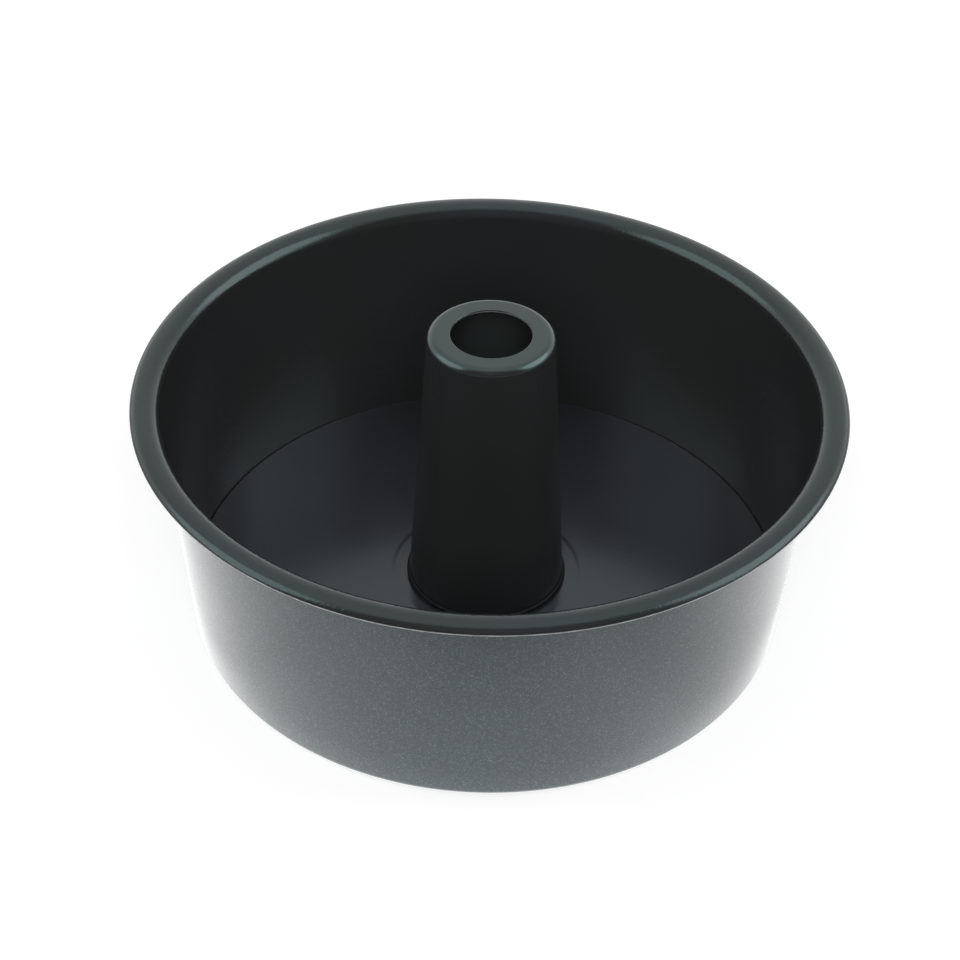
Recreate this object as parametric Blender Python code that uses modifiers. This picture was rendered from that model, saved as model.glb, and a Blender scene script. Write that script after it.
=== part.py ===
# Tube tin with a loose base, for angel food cake.
# A tapered steel shell has a rim turned over and down to its cut edge, and a hem rolled inwards
# at its foot.
# A flat base rests on the hem and lifts out with the tapered tube that is crimped into it.
# Metres, +Z up, origin on the table under the middle of the tin.
import math

import bpy

# Shell
PAN_HEIGHT = 0.0953  # table to the top of the rim
RIM_OUTER_RADIUS = 0.1300
RIM_INNER_RADIUS = 0.1192  # inside of the wall, where it turns over into the rim
RIM_BEND_RADIUS = 0.0035  # outside, from the rim's top face down to its cut edge
RIM_LIP_ANGLE = math.radians(12)  # short of a quarter turn, where the rim is cut
RIM_FILLET_RADIUS = 0.0050  # from the inside of the wall onto the rim
RIM_CROWN_ANGLE = math.radians(10)  # slope of the rim's top face at its two edges
BASE_OUTER_RADIUS = 0.1122  # outside of the wall at its foot
BASE_CORNER_RADIUS = 0.0028
HEM_HEIGHT = 0.0068  # table to the top of the rolled hem, the seat of the loose base
HEM_INNER_RADIUS = 0.1030
HEM_LIP_GAP = 0.0004  # cut edge of the hem to the wall
SHELL_GAUGE = 0.0008

# Loose base
PLATE_GAUGE = 0.0009
PLATE_CLEARANCE = 0.0005  # rim of the base to the inside of the wall
SEAT_GAP = 0.0003  # left between pieces that rest on each other
BOSS_RADIUS = 0.0366  # foot of the low step up round the tube
BOSS_RISE = 0.0001
BOSS_STEP_ANGLE = math.radians(6)

# Tube
TUBE_RISE = 0.1109  # floor of the base to the top of the tube
TUBE_TOP_RADIUS = 0.0232  # outside, at the shoulder
TUBE_FOOT_RADIUS = 0.0294  # outside, just above the bead
TUBE_HOLE_RADIUS = 0.0147  # cut edge of the ring that is turned in at its top
TUBE_SHOULDER_RADIUS = 0.0028
TUBE_GAUGE = 0.0008
BEAD_FOLD_GAP = 0.0001  # between the two plies of the bead
FOLD_FILLET_RADIUS = 0.0001  # inside the sharp folds at the foot
NECK_CLEARANCE = 0.0003  # tube to the edge of the base's hole
FLANGE_RADIUS = 0.0330  # turned out under the base

# Facets
SHELL_FACETS = 64
TUBE_FACETS = 48
BEND_STEP = math.radians(22.5)  # turn of one facet round a bend
FOLD_STEP = math.radians(45)  # turn of one facet round a sharp fold

# Derived heights
SEAT_HEIGHT = HEM_HEIGHT + SEAT_GAP  # underside of the base at its rim


def clear_scene():
    for old in list(bpy.data.objects):
        bpy.data.objects.remove(old, do_unlink=True)


def make_collection(name):
    collection = bpy.data.collections.new(name)
    bpy.context.scene.collection.children.link(collection)
    return collection


def coated_steel(name, colour, roughness, metallic):
    material = bpy.data.materials.new(name)
    material.use_nodes = True
    shader = material.node_tree.nodes["Principled BSDF"]
    shader.inputs["Base Color"].default_value = (*colour, 1.0)
    shader.inputs["Roughness"].default_value = roughness
    shader.inputs["Metallic"].default_value = metallic
    return material


def arc(centre, radius, start, end, step=BEND_STEP):
    """Points (r, z) round a bend, from the angle start to the angle end."""
    count = math.ceil(abs(end - start) / step - 1e-6)
    angles = [start + (end - start) * i / count for i in range(count + 1)]
    return [(centre[0] + radius * math.cos(a), centre[1] + radius * math.sin(a)) for a in angles]


def wall_lean(inner, inner_radius, outer, outer_radius):
    """Lean from the vertical of the straight wall between two bends.

    The wall passes outside the bend that is nearer the axis and inside the other one.
    """
    across = outer[0] - inner[0]
    along = abs(outer[1] - inner[1])
    line = math.hypot(across, along)
    return math.atan2(across, along) - math.asin((inner_radius + outer_radius) / line)


def shell_bends():
    """Centres and centreline radii of the shell's bends, and the lean of its wall."""
    half = SHELL_GAUGE / 2
    bend_radius = RIM_BEND_RADIUS - half
    fillet_radius = RIM_FILLET_RADIUS - half
    bend_r = RIM_OUTER_RADIUS - RIM_BEND_RADIUS * math.cos(RIM_LIP_ANGLE)
    fillet_r = RIM_INNER_RADIUS + RIM_FILLET_RADIUS
    crown_chord = bend_r - fillet_r + (bend_radius + fillet_radius) * math.sin(RIM_CROWN_ANGLE)
    crown_rise = crown_chord / 2 * math.tan(RIM_CROWN_ANGLE / 2)
    edge_height = PAN_HEIGHT - half - crown_rise
    corner_radius = BASE_CORNER_RADIUS - half
    bends = {
        "rim": ((bend_r, edge_height - bend_radius * math.cos(RIM_CROWN_ANGLE)), bend_radius),
        "fillet": ((fillet_r, edge_height - fillet_radius * math.cos(RIM_CROWN_ANGLE)), fillet_radius),
        "corner": ((BASE_OUTER_RADIUS - BASE_CORNER_RADIUS, BASE_CORNER_RADIUS), corner_radius),
        "hem": ((HEM_INNER_RADIUS + HEM_HEIGHT / 2, HEM_HEIGHT / 2), HEM_HEIGHT / 2 - half),
    }
    lean = wall_lean(*bends["corner"], *bends["fillet"])
    return bends, lean


def wall_radius(height, side):
    """Radius of the wall's outer face (side 1) or inner face (side -1) at a height."""
    bends, lean = shell_bends()
    (corner_r, corner_z), corner_radius = bends["corner"]
    offset = corner_radius + side * SHELL_GAUGE / 2
    return corner_r + offset / math.cos(lean) + (height - corner_z) * math.tan(lean)


def shell_path():
    """Centreline of the shell's sheet, from the cut edge of the rim to the cut edge of the hem."""
    bends, lean = shell_bends()
    rim, rim_radius = bends["rim"]
    fillet, fillet_radius = bends["fillet"]
    quarter = math.pi / 2
    rim_bend = arc(rim, rim_radius, RIM_LIP_ANGLE, quarter - RIM_CROWN_ANGLE)
    rim_fillet = arc(fillet, fillet_radius, quarter + RIM_CROWN_ANGLE, math.pi - lean)
    crown_chord = rim_bend[-1][0] - rim_fillet[0][0]
    crown_radius = crown_chord / 2 / math.sin(RIM_CROWN_ANGLE)
    crown_centre = (
        (rim_bend[-1][0] + rim_fillet[0][0]) / 2,
        rim_bend[-1][1] - crown_radius * math.cos(RIM_CROWN_ANGLE),
    )
    crown = arc(
        crown_centre,
        crown_radius,
        quarter - RIM_CROWN_ANGLE,
        quarter + RIM_CROWN_ANGLE,
        RIM_CROWN_ANGLE / 2,
    )
    foot = arc(*bends["corner"], -lean, -quarter)
    hem = arc(*bends["hem"], -quarter, -3 * quarter)
    hem_edge = (wall_radius(hem[-1][1], -1) - HEM_LIP_GAP, hem[-1][1])
    return rim_bend + crown[1:-1] + rim_fillet + foot + hem + [hem_edge]


def plate_path():
    """Centreline of the base's sheet, from its rim to its hole, measured up from its seat."""
    floor = PLATE_GAUGE / 2
    step_radius = BOSS_RISE / 2 / (1 - math.cos(BOSS_STEP_ANGLE))
    step_width = 2 * step_radius * math.sin(BOSS_STEP_ANGLE)
    quarter = math.pi / 2
    rim_radius = wall_radius(SEAT_HEIGHT, -1) - PLATE_CLEARANCE
    hole_radius = TUBE_FOOT_RADIUS + NECK_CLEARANCE
    lower = arc(
        (BOSS_RADIUS, floor + step_radius),
        step_radius,
        -quarter,
        -quarter - BOSS_STEP_ANGLE,
        BOSS_STEP_ANGLE / 2,
    )
    upper = arc(
        (BOSS_RADIUS - step_width, floor + BOSS_RISE - step_radius),
        step_radius,
        quarter - BOSS_STEP_ANGLE,
        quarter,
        BOSS_STEP_ANGLE / 2,
    )
    return [(rim_radius, floor)] + lower + upper[1:] + [(hole_radius, floor + BOSS_RISE)]


def tube_path():
    """Centreline of the tube's sheet, from the hole in its top to its flange, measured up from the seat."""
    half = TUBE_GAUGE / 2
    quarter = math.pi / 2
    fold_radius = FOLD_FILLET_RADIUS + half
    bead_radius = BEAD_FOLD_GAP / 2 + half
    top = PLATE_GAUGE + TUBE_RISE
    bead_height = PLATE_GAUGE + BOSS_RISE + SEAT_GAP + half + bead_radius
    flange_height = BOSS_RISE - SEAT_GAP - half
    fold_r = TUBE_FOOT_RADIUS + FOLD_FILLET_RADIUS
    shoulder = (TUBE_TOP_RADIUS - TUBE_SHOULDER_RADIUS, top - TUBE_SHOULDER_RADIUS)
    shoulder_radius = TUBE_SHOULDER_RADIUS - half
    upper_fold = (fold_r, bead_height + bead_radius + fold_radius)
    lower_fold = (fold_r, bead_height - bead_radius - fold_radius)
    lean = wall_lean(shoulder, shoulder_radius, upper_fold, fold_radius)
    return (
        [(TUBE_HOLE_RADIUS, top - half)]
        + arc(shoulder, shoulder_radius, quarter, lean)
        + arc(upper_fold, fold_radius, math.pi + lean, 3 * quarter, FOLD_STEP)
        + arc((fold_r, bead_height), bead_radius, quarter, -quarter, FOLD_STEP)[1:]
        + arc(lower_fold, fold_radius, quarter, math.pi, FOLD_STEP)[1:]
        + arc((fold_r, flange_height + fold_radius), fold_radius, math.pi, 3 * quarter, FOLD_STEP)
        + [(FLANGE_RADIUS, flange_height)]
    )


def turned_sheet(name, path, gauge, facets, material, collection):
    """Turns a sheet's centreline round the Z axis and gives it its thickness."""
    profile = bpy.data.meshes.new(name + "_profile")
    corners = [(r, 0.0, z) for r, z in path]
    edges = [(i, i + 1) for i in range(len(corners) - 1)]
    profile.from_pydata(corners, edges, [])
    piece = bpy.data.objects.new(name, profile)
    collection.objects.link(piece)

    screw = piece.modifiers.new("Turn", "SCREW")
    screw.axis = "Z"
    screw.angle = math.tau
    screw.steps = facets
    screw.render_steps = facets
    screw.use_merge_vertices = True
    screw.merge_threshold = 0.00001

    sheet = piece.modifiers.new("Gauge", "SOLIDIFY")
    sheet.thickness = gauge
    sheet.offset = 0.0
    sheet.use_even_offset = True
    sheet.use_quality_normals = True

    graph = bpy.context.evaluated_depsgraph_get()
    piece.data = bpy.data.meshes.new_from_object(piece.evaluated_get(graph))
    piece.data.name = name
    piece.modifiers.clear()
    bpy.data.meshes.remove(profile)
    piece.data.shade_smooth()
    piece.data.set_sharp_from_angle(angle=math.radians(50))
    piece.data.materials.append(material)
    return piece


def make_loose_base_axis(collection):
    """An empty on the lift axis, level with the seat, that carries the base and its tube."""
    axis = bpy.data.objects.new("loose_base", None)
    axis.empty_display_size = BOSS_RADIUS
    axis.location = (0.0, 0.0, SEAT_HEIGHT)
    collection.objects.link(axis)
    return axis


def main():
    clear_scene()
    collection = make_collection("tube_tin")
    outer_coat = coated_steel("speckled_outer_coat", (0.115, 0.130, 0.135), 0.42, 0.65)
    inner_coat = coated_steel("smooth_inner_coat", (0.018, 0.022, 0.022), 0.34, 0.0)

    turned_sheet("pan_shell", shell_path(), SHELL_GAUGE, SHELL_FACETS, outer_coat, collection)

    loose_base = make_loose_base_axis(collection)
    plate = turned_sheet("base_plate", plate_path(), PLATE_GAUGE, SHELL_FACETS, inner_coat, collection)
    tube = turned_sheet("centre_tube", tube_path(), TUBE_GAUGE, TUBE_FACETS, inner_coat, collection)
    for piece in (plate, tube):
        piece.parent = loose_base


main()
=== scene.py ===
import math

import bpy
from mathutils import Matrix, Vector


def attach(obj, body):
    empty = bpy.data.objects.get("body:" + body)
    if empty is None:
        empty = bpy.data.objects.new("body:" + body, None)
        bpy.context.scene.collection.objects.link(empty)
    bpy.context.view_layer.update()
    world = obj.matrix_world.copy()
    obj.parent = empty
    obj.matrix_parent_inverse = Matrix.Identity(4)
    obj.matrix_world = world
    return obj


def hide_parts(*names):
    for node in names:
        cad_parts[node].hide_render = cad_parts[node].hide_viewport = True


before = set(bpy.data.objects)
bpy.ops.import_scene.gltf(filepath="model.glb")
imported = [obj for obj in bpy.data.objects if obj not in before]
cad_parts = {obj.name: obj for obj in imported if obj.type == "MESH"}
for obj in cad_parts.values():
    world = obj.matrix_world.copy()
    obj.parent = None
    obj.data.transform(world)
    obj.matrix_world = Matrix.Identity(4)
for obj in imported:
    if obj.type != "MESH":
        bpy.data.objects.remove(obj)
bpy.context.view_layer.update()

print("frame loaded with the nodes", sorted(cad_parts))


# the tin is pressed from three sheets: the shell, the loose base and the tube, all sizes in metres
sheetDetail = {
    "bendStep": 7.0,  # degrees of one facet round a bend
    "runStep": 0.006,  # spacing of points along a straight run
    "runEnd": 0.0004,  # first point of a run after a bend, keeps flat faces shaded flat
    "edgeRound": 0.00012,  # rounding of a cut edge
    "edgeFacets": 3,
    "holeRoll": 0.00034,  # coated rounding over the cut edge of the hole in the tube's top
    "lipRoll": 0.00050,  # bare rounding of the rim's cut edge
    "rollFacets": 8,
    "bareStart": 0.00002,  # from a coated rounding to the bare steel beside it
    "wholeFacet": 0.75,  # a facet takes a coat where its corners carry more than this of its mark
    "leadRadius": 0.08,  # circle the profile is carried round
}

shellSizes = {
    "height": 0.0953,
    "rimOuter": 0.13012,  # before its cut edge is rounded
    "rimInner": 0.1192,
    "rimBend": 0.0035,
    "lipAngle": 12.0,  # short of a quarter turn, where the rim is cut
    "rimFillet": 0.0050,
    "crownSlope": 10.0,  # degrees at both edges of the rim's top
    "footOuter": 0.1122,
    "footCorner": 0.0028,
    "hemHeight": 0.0068,
    "hemInner": 0.1030,
    "hemLipGap": 0.0004,
    "gauge": 0.0008,
    "facets": 400,
    "waveHeight": 0.00006,  # hand-sized unevenness of the drawn sheet
    "waveSize": 0.045,
}

plateSizes = {
    "seat": 0.0071,  # underside of the base above the table
    "gauge": 0.0009,
    "rimClearance": 0.0005,
    "bossRadius": 0.0366,  # foot of the low step up round the tube
    "bossRise": 0.0001,
    "bossSlope": 6.0,
    "holeRadius": 0.0297,
    "facets": 360,
    "waveHeight": 0.00004,
    "waveSize": 0.06,
}

tubeSizes = {
    "top": 0.1189,
    "topOuter": 0.0232,
    "footOuter": 0.0294,
    "hole": 0.0147,
    "shoulder": 0.0028,
    "gauge": 0.0008,
    "beadGap": 0.0001,
    "foldFillet": 0.0001,
    "seatGap": 0.0003,
    "flange": 0.0330,
    "facets": 240,
    "waveHeight": 0.00003,
    "waveSize": 0.03,
}


def bend(centre, radius, start, end):
    # points of a bend as (r, z, normal r, normal z), the normal on the sheet's left-hand side
    count = max(2, math.ceil(abs(end - start) / math.radians(sheetDetail["bendStep"]) - 1e-6))
    side = 1.0 if end < start else -1.0
    points = []
    for i in range(count + 1):
        a = start + (end - start) * i / count
        points.append((
            centre[0] + radius * math.cos(a), centre[1] + radius * math.sin(a),
            side * math.cos(a), side * math.sin(a),
        ))
    return points


def edgePoint(r, z, neighbour):
    # end of a straight run, square to the same normal as the bend beside it
    return (r, z, neighbour[2], neighbour[3])


def joinRuns(stretches):
    # strings the bends together and puts points along the straight runs between them
    path = []
    for stretch in stretches:
        if path:
            a, b = path[-1], stretch[0]
            run = math.hypot(b[0] - a[0], b[1] - a[1])
            if run < 1e-7:
                stretch = stretch[1:]
            elif run > 3 * sheetDetail["runEnd"]:
                count = max(1, round(run / sheetDetail["runStep"]))
                stops = [sheetDetail["runEnd"]] + [run * i / count for i in range(1, count)]
                stops.append(run - sheetDetail["runEnd"])
                for s in stops:
                    t = s / run
                    path.append((a[0] + (b[0] - a[0]) * t, a[1] + (b[1] - a[1]) * t, a[2], a[3]))
        path += stretch
    return path


def wallLean(inner, innerRadius, outer, outerRadius):
    # lean of the straight wall that is tangent to two bends on opposite sides
    across, along = outer[0] - inner[0], abs(outer[1] - inner[1])
    line = math.hypot(across, along)
    return math.atan2(across, along) - math.asin((innerRadius + outerRadius) / line)


def shellWall():
    s = shellSizes
    half = s["gauge"] / 2
    slope = math.radians(s["crownSlope"])
    bendRadius = s["rimBend"] - half
    filletRadius = s["rimFillet"] - half
    bendAt = s["rimOuter"] - s["rimBend"] * math.cos(math.radians(s["lipAngle"]))
    filletAt = s["rimInner"] + s["rimFillet"]
    chord = bendAt - filletAt + (bendRadius + filletRadius) * math.sin(slope)
    edgeHeight = s["height"] - half - chord / 2 * math.tan(slope / 2)
    wall = {
        "rim": ((bendAt, edgeHeight - bendRadius * math.cos(slope)), bendRadius),
        "fillet": ((filletAt, edgeHeight - filletRadius * math.cos(slope)), filletRadius),
        "corner": ((s["footOuter"] - s["footCorner"], s["footCorner"]), s["footCorner"] - half),
        "hem": ((s["hemInner"] + s["hemHeight"] / 2, s["hemHeight"] / 2), s["hemHeight"] / 2 - half),
    }
    wall["lean"] = wallLean(*wall["corner"], *wall["fillet"])
    return wall


def wallRadius(height, side):
    # outer face (side 1) or inner face (side -1) of the wall at a height
    wall = shellWall()
    (cornerR, cornerZ), cornerRadius = wall["corner"]
    offset = cornerRadius + side * shellSizes["gauge"] / 2
    return cornerR + offset / math.cos(wall["lean"]) + (height - cornerZ) * math.tan(wall["lean"])


def shellPath():
    s, wall = shellSizes, shellWall()
    slope, quarter = math.radians(s["crownSlope"]), math.pi / 2
    lip = math.radians(s["lipAngle"])
    rim = bend(*wall["rim"], 2 * lip, quarter - slope)
    fillet = bend(*wall["fillet"], quarter + slope, math.pi - wall["lean"])
    crownRadius = (rim[-1][0] - fillet[0][0]) / 2 / math.sin(slope)
    crownAt = ((rim[-1][0] + fillet[0][0]) / 2, rim[-1][1] - crownRadius * math.cos(slope))
    crown = bend(crownAt, crownRadius, quarter - slope, quarter + slope)
    foot = bend(*wall["corner"], -wall["lean"], -quarter)
    hem = bend(*wall["hem"], -quarter, -3 * quarter)
    run = wall["rim"][1] * math.tan(lip)  # the rim ends with a straight run
    lipR, lipZ = rim[0][0] + run * math.sin(2 * lip), rim[0][1] - run * math.cos(2 * lip)
    hemEdge = edgePoint(wallRadius(hem[-1][1], -1) - s["hemLipGap"], hem[-1][1], hem[-1])
    return joinRuns([[edgePoint(lipR, lipZ, rim[0])], rim, crown, fillet, foot, hem, [hemEdge]])


def platePath():
    p = plateSizes
    middle = p["seat"] + p["gauge"] / 2
    slope, quarter = math.radians(p["bossSlope"]), math.pi / 2
    stepRadius = p["bossRise"] / 2 / (1 - math.cos(slope))
    stepWidth = 2 * stepRadius * math.sin(slope)
    lower = bend((p["bossRadius"], middle + stepRadius), stepRadius, -quarter, -quarter - slope)
    upperAt = (p["bossRadius"] - stepWidth, middle + p["bossRise"] - stepRadius)
    upper = bend(upperAt, stepRadius, quarter - slope, quarter)
    rim = edgePoint(wallRadius(p["seat"], -1) - p["rimClearance"], middle, lower[0])
    hole = edgePoint(p["holeRadius"], middle + p["bossRise"], upper[-1])
    return joinRuns([[rim], lower, upper, [hole]])


def tubePath():
    t = tubeSizes
    half, quarter = t["gauge"] / 2, math.pi / 2
    foldRadius, beadRadius = t["foldFillet"] + half, t["beadGap"] / 2 + half
    bossTop = plateSizes["seat"] + plateSizes["gauge"] + plateSizes["bossRise"]
    beadAt = bossTop + t["seatGap"] + half + beadRadius
    flangeAt = bossTop - plateSizes["gauge"] - t["seatGap"] - half
    foldR = t["footOuter"] + t["foldFillet"]
    shoulderAt = (t["topOuter"] - t["shoulder"], t["top"] - t["shoulder"])
    foldAt = (foldR, beadAt + beadRadius + foldRadius)
    lean = wallLean(shoulderAt, t["shoulder"] - half, foldAt, foldRadius)
    shoulder = bend(shoulderAt, t["shoulder"] - half, quarter, lean)
    return joinRuns([
        [edgePoint(t["hole"], t["top"] - half, shoulder[0])],
        shoulder,
        bend(foldAt, foldRadius, math.pi + lean, 3 * quarter),
        bend((foldR, beadAt), beadRadius, quarter, -quarter),
        bend((foldR, beadAt - beadRadius - foldRadius), foldRadius, quarter, math.pi),
        bend((foldR, flangeAt + foldRadius), foldRadius, math.pi, 3 * quarter),
        [(t["flange"], flangeAt, 0.0, 1.0)],
    ])


def sheetOutline(path, gauge, speckledSide, startRounds=None):
    # closed outline of the sheet's cross-section as (r, z, speckled, cut)
    # speckledSide is 1 for the path's left-hand face, -1 for its right-hand face, 0 for neither
    # startRounds gives the left or right corner of the path's first edge its own radius and bareness
    half, detail = gauge / 2, sheetDetail

    def cap(end, outward, rounds):
        # rounded cut edge, from the left-hand face to the right-hand face when outward is 1
        r, z, nr, nz = end
        tr, tz = nz * outward, -nr * outward
        corners = []

        def corner(alongN, alongT, cut):
            corners.append((r + nr * alongN + tr * alongT, z + nz * alongN + tz * alongT, 0.0, cut))

        for side, name in ((1, "left"), (-1, "right")):
            radius, bare = rounds.get(name, (detail["edgeRound"], 1.0))
            facets = detail["rollFacets"] if name in rounds else detail["edgeFacets"]
            turn = [math.radians(90 * i / facets) for i in range(facets + 1)]
            for a in turn if side == 1 else turn[::-1]:
                corner(side * (half - radius + radius * math.cos(a)), radius * (math.sin(a) - 1), bare)
            if side == 1 and not bare:
                corner(half - radius - detail["bareStart"], 0.0, 1.0)
        return corners if outward == 1 else corners[::-1]

    def face(points, side):
        speckled = 1.0 if side == speckledSide else 0.0
        return [(r + nr * half * side, z + nz * half * side, speckled, 0.0) for r, z, nr, nz in points]

    inside = path[1:-1]
    lastEdge, firstEdge = cap(path[-1], 1, {}), cap(path[0], -1, startRounds or {})
    return face(inside, 1) + lastEdge + face(inside, -1)[::-1] + firstEdge


# turning a sheet's outline round the axis
def turningTree():
    tree = bpy.data.node_groups.new("turnedSheet", "GeometryNodeTree")
    face = tree.interface
    face.new_socket("Outline", in_out="INPUT", socket_type="NodeSocketGeometry")
    for name, kind in (
        ("Facets round", "NodeSocketInt"),
        ("Lead radius", "NodeSocketFloat"),
        ("Wave height", "NodeSocketFloat"),
        ("Wave size", "NodeSocketFloat"),
        ("Smooth coat", "NodeSocketMaterial"),
        ("Speckled coat", "NodeSocketMaterial"),
        ("Cut edge", "NodeSocketMaterial"),
    ):
        face.new_socket(name, in_out="INPUT", socket_type=kind)
    face.new_socket("Turned sheet", in_out="OUTPUT", socket_type="NodeSocketGeometry")

    def add(kind, **settings):
        node = tree.nodes.new(kind)
        for key, value in settings.items():
            setattr(node, key, value)
        return node

    link = tree.links.new
    given = add("NodeGroupInput")
    result = add("NodeGroupOutput")

    # the outline carried round a circle
    outline = add("GeometryNodeMeshToCurve")
    circle = add("GeometryNodeCurvePrimitiveCircle", mode="RADIUS")
    sweep = add("GeometryNodeCurveToMesh")
    link(given.outputs["Outline"], outline.inputs["Mesh"])
    link(given.outputs["Facets round"], circle.inputs["Resolution"])
    link(given.outputs["Lead radius"], circle.inputs["Radius"])
    link(circle.outputs["Curve"], sweep.inputs["Curve"])
    link(outline.outputs["Curve"], sweep.inputs["Profile Curve"])

    # slight unevenness of drawn sheet, always towards the axis
    place = add("GeometryNodeInputPosition")
    perSize = add("ShaderNodeMath", operation="DIVIDE")
    perSize.inputs[0].default_value = 1.0
    noise = add("ShaderNodeTexNoise", noise_dimensions="3D")
    noise.inputs["Detail"].default_value = 1.0
    depth = add("ShaderNodeMath", operation="MULTIPLY")
    flat = add("ShaderNodeVectorMath", operation="MULTIPLY")
    flat.inputs[1].default_value = (-1.0, -1.0, 0.0)
    inward = add("ShaderNodeVectorMath", operation="NORMALIZE")
    shift = add("ShaderNodeVectorMath", operation="SCALE")
    waves = add("GeometryNodeSetPosition")
    link(given.outputs["Wave size"], perSize.inputs[1])
    link(place.outputs["Position"], noise.inputs["Vector"])
    link(perSize.outputs["Value"], noise.inputs["Scale"])
    link(noise.outputs["Fac"], depth.inputs[0])
    link(given.outputs["Wave height"], depth.inputs[1])
    link(place.outputs["Position"], flat.inputs[0])
    link(flat.outputs["Vector"], inward.inputs[0])
    link(inward.outputs["Vector"], shift.inputs[0])
    link(depth.outputs["Value"], shift.inputs["Scale"])
    link(sweep.outputs["Mesh"], waves.inputs["Geometry"])
    link(shift.outputs["Vector"], waves.inputs["Offset"])

    shade = add("GeometryNodeSetShadeSmooth")
    real = add("GeometryNodeRealizeInstances")
    link(waves.outputs["Geometry"], shade.inputs["Geometry"])
    link(shade.outputs["Geometry"], real.inputs["Geometry"])

    # one coat on each face of the sheet, bare steel where it was cut
    last = real.outputs["Geometry"]
    for coat, mark in (("Smooth coat", None), ("Speckled coat", "speckled"), ("Cut edge", "cut")):
        paint = add("GeometryNodeSetMaterial")
        link(last, paint.inputs["Geometry"])
        link(given.outputs[coat], paint.inputs["Material"])
        if mark:
            marked = add("GeometryNodeInputNamedAttribute", data_type="FLOAT")
            marked.inputs["Name"].default_value = mark
            whole = add("FunctionNodeCompare", data_type="FLOAT", operation="GREATER_THAN")
            whole.inputs["B"].default_value = sheetDetail["wholeFacet"]
            link(marked.outputs["Attribute"], whole.inputs["A"])
            link(whole.outputs["Result"], paint.inputs["Selection"])
        last = paint.outputs["Geometry"]
    link(last, result.inputs["Turned sheet"])
    return tree


def outlineMesh(name, outline):
    lead = sheetDetail["leadRadius"]
    mesh = bpy.data.meshes.new(name)
    corners = [(r - lead, -z, 0.0) for r, z, speckled, cut in outline]
    count = len(corners)
    mesh.from_pydata(corners, [(i, (i + 1) % count) for i in range(count)], [])
    for place, mark in ((2, "speckled"), (3, "cut")):
        values = mesh.attributes.new(mark, "FLOAT", "POINT")
        values.data.foreach_set("value", [point[place] for point in outline])
    return mesh


def turnPiece(name, outline, sizes, tree, coats):
    profile = outlineMesh(name + "Outline", outline)
    holder = bpy.data.objects.new(name + "Holder", profile)
    bpy.context.scene.collection.objects.link(holder)
    turning = holder.modifiers.new("turning", "NODES")
    turning.node_group = tree
    wanted = {
        "Facets round": sizes["facets"],
        "Lead radius": sheetDetail["leadRadius"],
        "Wave height": sizes["waveHeight"],
        "Wave size": sizes["waveSize"],
        "Smooth coat": coats["smooth"],
        "Speckled coat": coats["speckled"],
        "Cut edge": coats["cut"],
    }
    for socket in tree.interface.items_tree:
        if socket.name in wanted:
            turning[socket.identifier] = wanted[socket.name]
    graph = bpy.context.evaluated_depsgraph_get()
    mesh = bpy.data.meshes.new_from_object(holder.evaluated_get(graph), depsgraph=graph)
    mesh.name = name
    piece = bpy.data.objects.new(name, mesh)
    bpy.context.scene.collection.objects.link(piece)
    bpy.data.objects.remove(holder, do_unlink=True)
    bpy.data.meshes.remove(profile)
    triangles = [[mesh.vertices[i].co for i in triangle.vertices] for triangle in mesh.loop_triangles]
    solid = sum(a.dot(b.cross(c)) for a, b, c in triangles) / 6
    print(name, "turned:", len(mesh.polygons), "faces,", round(solid * 1e6, 2), "ml of sheet")
    return piece


# finishes: the smooth coat is one product, sprayed a little differently on each sheet
smoothCoatLook = {
    "patchSize": 0.055,  # cloudy patches
    "patchStops": (0.35, 0.7),
    "patchDetail": 3.0,
    "peelSize": 0.0009,  # orange peel
    "peelDetail": 2.0,
}

panCoatLook = {
    "tint": (0.0270, 0.0280, 0.0275),
    "cloudy": (0.0285, 0.0305, 0.0335),  # tint of the cloudy patches
    "gloss": (0.70, 1.0, 0.97),  # colour of the reflections
    "ior": 1.42,
    "roughness": (0.12, 0.17),
    "peelDepth": 0.00007,
}

plateCoatLook = {
    "tint": (0.0290, 0.0290, 0.0330),
    "cloudy": (0.0305, 0.0315, 0.0385),
    "gloss": (0.76, 0.96, 1.0),
    "ior": 1.55,
    "roughness": (0.17, 0.23),
    "peelDepth": 0.00003,
}

tubeCoatLook = {
    "tint": (0.0270, 0.0280, 0.0275),
    "cloudy": (0.0285, 0.0305, 0.0325),
    "gloss": (0.67, 1.0, 0.96),
    "ior": 1.55,
    "roughness": (0.17, 0.23),
    "peelDepth": 0.00003,
    "dullAndShadedBelow": 0.0112,  # height of the crimped bead, where the coat is stretched and dull, and where its tint is darkened as painted shade
    "dullAndShadedFade": 0.001,  # height over which the coat turns dull and the painted shade comes in
    "dullRoughness": 0.32,  # added to the roughness
    "dullSpecular": 0.10,
    "paintedFootShade": 0.6,  # share of the tint that is left under the painted shade at the tube's foot
}

speckledCoatLook = {
    "ground": (0.045, 0.066, 0.071),
    "darkFleck": (0.022, 0.036, 0.041),
    "brightFleck": (0.125, 0.165, 0.172),
    "fleckStops": (0.0, 0.35, 0.8, 1.0),  # dark fleck, ground from here to here, bright fleck
    "fleckSize": 0.00036,
    "metallic": 0.6,
    "roughness": (0.36, 0.46),
    "coat": 0.9,
    "coatRoughness": 0.20,
    "peelSize": 0.0008,
    "peelDetail": 2.0,
    "peelDepth": 0.000008,
}

cutEdgeLook = {
    "steel": (0.60, 0.62, 0.63),
    "stain": (0.40, 0.39, 0.37),
    "stainStops": (0.35, 0.65),
    "stainSize": 0.004,
    "stainDetail": 3.0,
    "metallic": 0.8,  # dulled by handling
    "roughness": 0.42,
}


def newCoat(name):
    coat = bpy.data.materials.new(name)
    coat.use_nodes = True
    return coat, coat.node_tree.nodes, coat.node_tree.links.new, coat.node_tree.nodes["Principled BSDF"]


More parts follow.
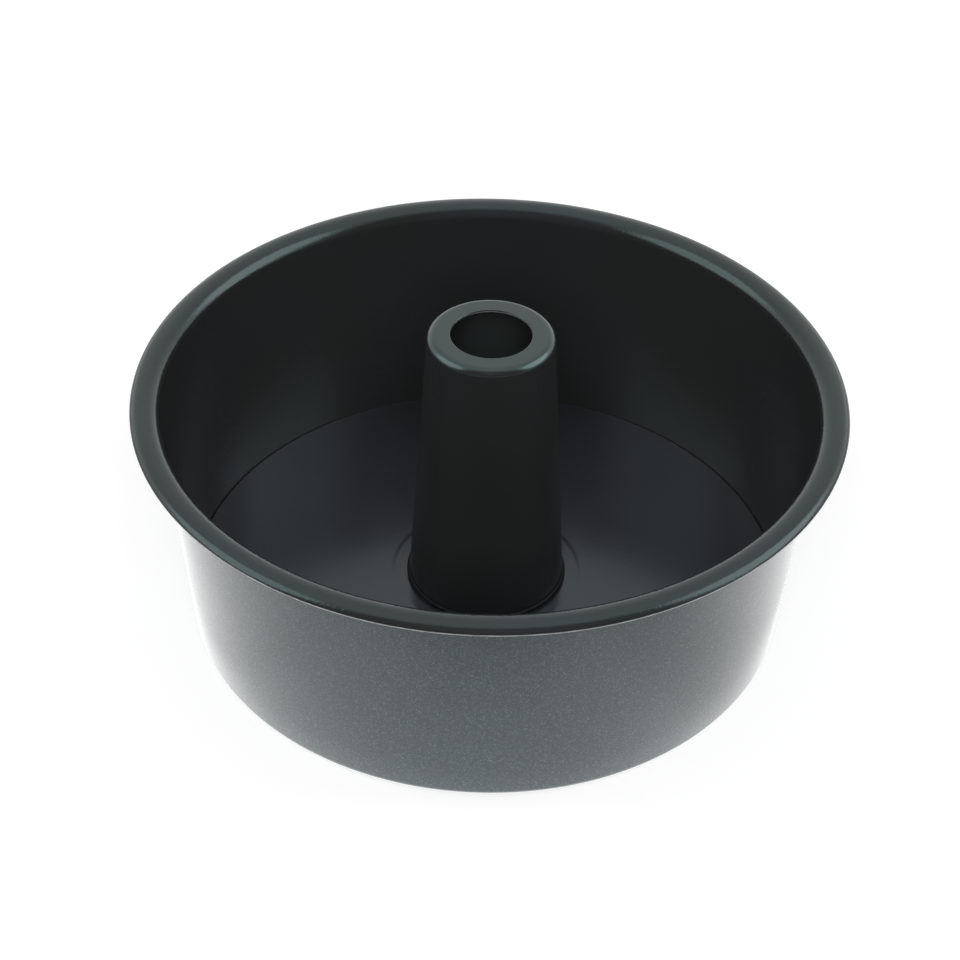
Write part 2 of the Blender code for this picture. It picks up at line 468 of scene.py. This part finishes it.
def onObject(nodes, link, size, kind, **inputs):
    # a texture on Object coordinates, its pattern sized in metres
    where = nodes.new("ShaderNodeTexCoord")
    centred = nodes.new("ShaderNodeMapping")
    centred.inputs["Scale"].default_value = (1 / size,) * 3
    link(where.outputs["Object"], centred.inputs["Vector"])
    texture = nodes.new(kind)
    link(centred.outputs["Vector"], texture.inputs["Vector"])
    texture.inputs["Scale"].default_value = 1.0
    for key, value in inputs.items():
        texture.inputs[key].default_value = value
    return texture


def ramp(nodes, link, source, stops, *colours):
    blend = nodes.new("ShaderNodeValToRGB")
    elements = blend.color_ramp.elements
    while len(elements) < len(stops):
        elements.new(1.0)
    for element, place, colour in zip(elements, stops, colours):
        element.position = place
        element.color = (*colour, 1.0)
    link(source, blend.inputs["Fac"])
    return blend.outputs["Color"]


def between(nodes, link, source, low, high):
    spread = nodes.new("ShaderNodeMapRange")
    spread.inputs["To Min"].default_value = low
    spread.inputs["To Max"].default_value = high
    link(source, spread.inputs["Value"])
    return spread.outputs["Result"]


def relief(nodes, link, shader, source, depth):
    bump = nodes.new("ShaderNodeBump")
    bump.inputs["Distance"].default_value = depth
    bump.inputs["Strength"].default_value = 1.0
    link(source, bump.inputs["Height"])
    link(bump.outputs["Normal"], shader.inputs["Normal"])


def combine(nodes, link, operation, first, second):
    both = nodes.new("ShaderNodeMath")
    both.operation = operation
    link(first, both.inputs[0])
    link(second, both.inputs[1])
    return both.outputs[0]


def lowDown(nodes, link, own, usual, lowest):
    # a value that changes low down only, where the coat is dull and its tint is darkened as painted shade
    where = nodes.new("ShaderNodeTexCoord")
    height = nodes.new("ShaderNodeSeparateXYZ")
    low = nodes.new("ShaderNodeMapRange")
    low.inputs["From Min"].default_value = own["dullAndShadedBelow"]
    low.inputs["From Max"].default_value = own["dullAndShadedBelow"] - own["dullAndShadedFade"]
    low.inputs["To Min"].default_value = usual
    low.inputs["To Max"].default_value = lowest
    link(where.outputs["Object"], height.inputs["Vector"])
    link(height.outputs["Z"], low.inputs["Value"])
    return low.outputs["Result"]


def smoothCoat(name, own):
    look = smoothCoatLook
    coat, nodes, link, shader = newCoat(name)
    patches = onObject(nodes, link, look["patchSize"], "ShaderNodeTexNoise", Detail=look["patchDetail"])
    tint = ramp(nodes, link, patches.outputs["Fac"], look["patchStops"], own["tint"], own["cloudy"])
    peel = onObject(nodes, link, look["peelSize"], "ShaderNodeTexNoise", Detail=look["peelDetail"])
    roughness = between(nodes, link, peel.outputs["Fac"], *own["roughness"])
    if "dullAndShadedBelow" in own:
        rougher = lowDown(nodes, link, own, 0.0, own["dullRoughness"])
        roughness = combine(nodes, link, "ADD", roughness, rougher)
        usualLevel = shader.inputs["Specular IOR Level"].default_value
        link(lowDown(nodes, link, own, usualLevel, own["dullSpecular"]), shader.inputs["Specular IOR Level"])
        # painted shade: the tint is darkened low down, at the tube's foot by the bead
        shaded = nodes.new("ShaderNodeVectorMath")
        shaded.operation = "SCALE"
        link(tint, shaded.inputs[0])
        link(lowDown(nodes, link, own, 1.0, own["paintedFootShade"]), shaded.inputs["Scale"])
        tint = shaded.outputs["Vector"]
    link(tint, shader.inputs["Base Color"])
    link(roughness, shader.inputs["Roughness"])
    relief(nodes, link, shader, peel.outputs["Fac"], own["peelDepth"])
    shader.inputs["IOR"].default_value = own["ior"]
    shader.inputs["Specular Tint"].default_value = (*own["gloss"], 1.0)
    return coat


def speckledCoat():
    look = speckledCoatLook
    coat, nodes, link, shader = newCoat("speckledCoat")
    flecks = onObject(nodes, link, look["fleckSize"], "ShaderNodeTexVoronoi", Randomness=1.0)
    apart = nodes.new("ShaderNodeSeparateColor")
    link(flecks.outputs["Color"], apart.inputs["Color"])
    tint = ramp(
        nodes, link, apart.outputs["Red"], look["fleckStops"],
        look["darkFleck"], look["ground"], look["ground"], look["brightFleck"],
    )
    link(tint, shader.inputs["Base Color"])
    link(between(nodes, link, apart.outputs["Green"], *look["roughness"]), shader.inputs["Roughness"])
    peel = onObject(nodes, link, look["peelSize"], "ShaderNodeTexNoise", Detail=look["peelDetail"])
    relief(nodes, link, shader, peel.outputs["Fac"], look["peelDepth"])
    shader.inputs["Metallic"].default_value = look["metallic"]
    shader.inputs["Coat Weight"].default_value = look["coat"]
    shader.inputs["Coat Roughness"].default_value = look["coatRoughness"]
    return coat


def cutEdge():
    look = cutEdgeLook
    coat, nodes, link, shader = newCoat("cutEdge")
    stains = onObject(nodes, link, look["stainSize"], "ShaderNodeTexNoise", Detail=look["stainDetail"])
    tint = ramp(nodes, link, stains.outputs["Fac"], look["stainStops"], look["stain"], look["steel"])
    link(tint, shader.inputs["Base Color"])
    shader.inputs["Metallic"].default_value = look["metallic"]
    shader.inputs["Roughness"].default_value = look["roughness"]
    return coat


panCoats = {
    "smooth": smoothCoat("panSmoothCoat", panCoatLook),
    "speckled": speckledCoat(),
    "cut": cutEdge(),
}
plateCoats = {**panCoats, "smooth": smoothCoat("plateSmoothCoat", plateCoatLook)}
tubeCoats = {**panCoats, "smooth": smoothCoat("tubeSmoothCoat", tubeCoatLook)}
print("finishes ready")

tree = turningTree()
bareLip = {"right": (sheetDetail["lipRoll"], 1.0)}
coatedHole = {"left": (sheetDetail["holeRoll"], 0.0)}
shellOutline = sheetOutline(shellPath(), shellSizes["gauge"], 1, bareLip)
plateOutline = sheetOutline(platePath(), plateSizes["gauge"], 1)
tubeOutline = sheetOutline(tubePath(), tubeSizes["gauge"], 0, coatedHole)
shell = turnPiece("shellSheet", shellOutline, shellSizes, tree, panCoats)
plate = turnPiece("baseSheet", plateOutline, plateSizes, tree, plateCoats)
tube = turnPiece("tubeSheet", tubeOutline, tubeSizes, tree, tubeCoats)

for piece, node, body, finish in (
    (shell, "pan_shell", "pan", "speckled_outer_coat"),
    (plate, "base_plate", "loose_base", "smooth_inner_coat"),
    (tube, "centre_tube", "loose_base", "smooth_inner_coat"),
):
    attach(piece, body)
    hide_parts(node)
print("sheets ride on their bodies")


studio = {
    "floorReach": 12.0,
    "floorBelow": 0.0002,  # under the tin's foot
    "floorColour": (0.50, 0.50, 0.50),
    "floorRoughness": 0.9,
    # light that the camera sees the floor give, on top of the lamps' light, by distance from the axis
    "floorSeen": ((0.35, 0.68), (0.9, 1.0)),
    # painted light that mirror rays see it give: by distance from the axis, times by depth, times by width;
    # it dips as painted shadow in front of the tin and beside its foot on the right
    "floorMirrored": (
        (0.112, 1.28), (0.122, 0.87), (0.15, 0.73), (0.178, 0.74), (0.20, 0.50), (0.22, 0.34), (0.34, 0.13),
    ),
    "floorBehind": (
        (-0.20, 0.30), (-0.179, 0.42), (-0.164, 0.71), (-0.155, 0.80), (-0.14, 0.88), (-0.125, 0.90),
        (-0.09, 1.07), (0.0, 1.6), (0.14, 2.3),
    ),
    # painted shadow: the dip from 0.1 to 0.125 across lies beside the tin's foot on the right
    "floorAside": (
        (-0.16, 1.0), (-0.13, 1.05), (-0.112, 0.92), (-0.098, 1.04), (-0.06, 1.04), (-0.02, 0.97),
        (0.02, 0.97), (0.06, 1.03), (0.08, 1.03), (0.1, 0.80), (0.125, 0.74), (0.14, 0.90), (0.16, 0.98),
    ),
    "worldLight": 0.27,
    # light of the surroundings for mirror rays, the backdrop's by height above the horizon
    "backdropMirrored": ((0.0, 1.55), (0.42, 1.22), (0.68, 0.92), (0.95, 1.25)),
    "darkMirrored": 0.03,  # unlit side of the studio, behind the photographer
    "darkAim": (0.0, -0.985, 0.174),
    "darkReach": (77.0, 48.0),  # degrees from the aim where the dark begins and is full
    "panelMirrored": (3.2, 4.0),  # large panels of light to the left and right
    "panelAims": ((-0.844, -0.130, 0.520), (0.845, 0.030, 0.534)),
    "panelReach": (29.0, 21.0),
    "lampsAim": (0.0, 0.0, 0.06),
    "lamps": {  # place, size, power
        "leftSoftbox": ((-1.75, 0.2, 1.5), 0.9, 10.6),
        "rightSoftbox": ((1.75, 0.2, 1.5), 0.9, 10.6),
        "topSoftbox": ((0.0, 0.2, 2.2), 1.6, 3.4),
        "cameraFill": ((0.0, -1.4, 1.25), 0.8, 13.2),
    },
}


def curve(nodes, link, source, stops):
    # straight lines through the (value, result) stops
    lines = []
    for (low, start), (high, end) in zip(stops, stops[1:]):
        line = nodes.new("ShaderNodeMapRange")
        for name, value in (("From Min", low), ("From Max", high), ("To Min", 0.0), ("To Max", end - start)):
            line.inputs[name].default_value = value
        link(source, line.inputs["Value"])
        lines.append(line.outputs["Result"])
    total = lines[0]
    for line in lines[1:]:
        total = combine(nodes, link, "ADD", total, line)
    offset = nodes.new("ShaderNodeMath")
    offset.operation = "ADD"
    offset.inputs[1].default_value = stops[0][1]
    link(total, offset.inputs[0])
    return offset.outputs[0]


def floorGlow(nodes, link, rays):
    # painted light: for mirror rays the floor glows brightest round the tin and behind it, for the camera it
    # is white
    where = nodes.new("ShaderNodeTexCoord")
    distance = nodes.new("ShaderNodeVectorMath")
    distance.operation = "LENGTH"
    along = nodes.new("ShaderNodeSeparateXYZ")
    link(where.outputs["Object"], distance.inputs[0])
    link(where.outputs["Object"], along.inputs["Vector"])
    near = curve(nodes, link, distance.outputs["Value"], studio["floorMirrored"])
    behind = curve(nodes, link, along.outputs["Y"], studio["floorBehind"])
    aside = curve(nodes, link, along.outputs["X"], studio["floorAside"])
    glow = combine(nodes, link, "MULTIPLY", near, behind)
    glow = combine(nodes, link, "MULTIPLY", glow, aside)
    glossy, transmitted = rays.outputs["Is Glossy Ray"], rays.outputs["Is Transmission Ray"]
    mirrorRays = combine(nodes, link, "MAXIMUM", glossy, transmitted)
    mirrored = combine(nodes, link, "MULTIPLY", mirrorRays, glow)
    white = curve(nodes, link, distance.outputs["Value"], studio["floorSeen"])
    seen = combine(nodes, link, "MULTIPLY", rays.outputs["Is Camera Ray"], white)
    return combine(nodes, link, "MAXIMUM", seen, mirrored)


def makeFloor():
    s = studio
    mesh = bpy.data.meshes.new("studioFloor")
    reach, height = s["floorReach"], -s["floorBelow"]
    corners = [(x * reach, y * reach, height) for x, y in ((-1, -1), (1, -1), (1, 1), (-1, 1))]
    mesh.from_pydata(corners, [], [(0, 1, 2, 3)])
    floor = bpy.data.objects.new("studioFloor", mesh)
    bpy.context.scene.collection.objects.link(floor)
    paper = bpy.data.materials.new("studioPaper")
    paper.use_nodes = True
    nodes, link = paper.node_tree.nodes, paper.node_tree.links.new
    shader = nodes["Principled BSDF"]
    shader.inputs["Base Color"].default_value = (*s["floorColour"], 1.0)
    shader.inputs["Roughness"].default_value = s["floorRoughness"]
    shader.inputs["Specular IOR Level"].default_value = 0.0
    rays = nodes.new("ShaderNodeLightPath")
    shader.inputs["Emission Color"].default_value = (1.0, 1.0, 1.0, 1.0)
    link(floorGlow(nodes, link, rays), shader.inputs["Emission Strength"])
    mesh.materials.append(paper)


def makeWorld():
    s = studio
    world = bpy.data.worlds.new("studioWorld")
    bpy.context.scene.world = world
    world.use_nodes = True
    nodes, link = world.node_tree.nodes, world.node_tree.links.new
    light = nodes["Background"]
    light.inputs["Color"].default_value = (1.0, 1.0, 1.0, 1.0)
    rays = nodes.new("ShaderNodeLightPath")
    where = nodes.new("ShaderNodeTexCoord")

    # the backdrop is brightest low down
    upward = nodes.new("ShaderNodeSeparateXYZ")
    link(where.outputs["Generated"], upward.inputs["Vector"])
    backdrop = curve(nodes, link, upward.outputs["Z"], s["backdropMirrored"])

    def patch(aim, reach, strength, around):
        # a round patch of the surroundings with a soft edge
        towards = nodes.new("ShaderNodeVectorMath")
        towards.operation = "DOT_PRODUCT"
        towards.inputs[1].default_value = aim
        link(where.outputs["Generated"], towards.inputs[0])
        inside = nodes.new("ShaderNodeMapRange")
        inside.interpolation_type = "SMOOTHSTEP"
        begins, full = (math.cos(math.radians(a)) for a in reach)
        inside.inputs["From Min"].default_value = begins
        inside.inputs["From Max"].default_value = full
        link(towards.outputs["Value"], inside.inputs["Value"])
        mixed = nodes.new("ShaderNodeMix")
        mixed.inputs["B"].default_value = strength
        link(inside.outputs["Result"], mixed.inputs["Factor"])
        link(around, mixed.inputs["A"])
        return mixed.outputs["Result"]

    # the photographer's side is unlit, the panels of light stand to the left and right
    mirrored = patch(s["darkAim"], s["darkReach"], s["darkMirrored"], backdrop)
    for aim, strength in zip(s["panelAims"], s["panelMirrored"]):
        mirrored = patch(aim, s["panelReach"], strength, mirrored)

    # plain light for everything but mirror rays, white for the camera
    plainLight = between(nodes, link, rays.outputs["Is Camera Ray"], s["worldLight"], 1.0)
    chosen = nodes.new("ShaderNodeMix")
    link(rays.outputs["Is Glossy Ray"], chosen.inputs["Factor"])
    link(plainLight, chosen.inputs["A"])
    link(mirrored, chosen.inputs["B"])
    link(chosen.outputs["Result"], light.inputs["Strength"])


def makeLights():
    for name, (place, size, power) in studio["lamps"].items():
        lamp = bpy.data.lights.new(name, "AREA")
        lamp.shape = "SQUARE"
        lamp.size = size
        lamp.energy = power
        holder = bpy.data.objects.new(name, lamp)
        holder.location = place
        towards = Vector(studio["lampsAim"]) - Vector(place)
        holder.rotation_euler = towards.to_track_quat("-Z", "Y").to_euler()
        holder.visible_glossy = False  # the coats mirror the panels of the studio's world instead
        bpy.context.scene.collection.objects.link(holder)


cameraSettings = {
    "lens": 88.45,  # mm
    "sensor": 36.0,
    "clip": (0.02, 60.0),
    "place": (0.0, -0.6861, 0.6061),
    "down": 38.93,  # degrees
    "turn": -0.25,
    "tilt": 1.16,
}


def makeCamera():
    c = cameraSettings
    down, turn, tilt = (math.radians(c[k]) for k in ("down", "turn", "tilt"))
    ahead = Vector((math.sin(turn) * math.cos(down), math.cos(turn) * math.cos(down), -math.sin(down)))
    level = Vector((math.cos(turn), -math.sin(turn), 0))
    upright = level.cross(ahead)
    right = math.cos(tilt) * level + math.sin(tilt) * upright
    up = -math.sin(tilt) * level + math.cos(tilt) * upright
    camera = bpy.data.cameras.new("photoCamera")
    camera.sensor_width = c["sensor"]
    camera.lens = c["lens"]
    camera.clip_start, camera.clip_end = c["clip"]
    holder = bpy.data.objects.new("photoCamera", camera)
    holder.matrix_world = Matrix.Translation(c["place"]) @ Matrix((right, up, -ahead)).transposed().to_4x4()
    bpy.context.scene.collection.objects.link(holder)
    bpy.context.scene.camera = holder


makeFloor()
makeWorld()
makeLights()
makeCamera()
bpy.context.scene.view_settings.view_transform = "Standard"
print("studio ready")
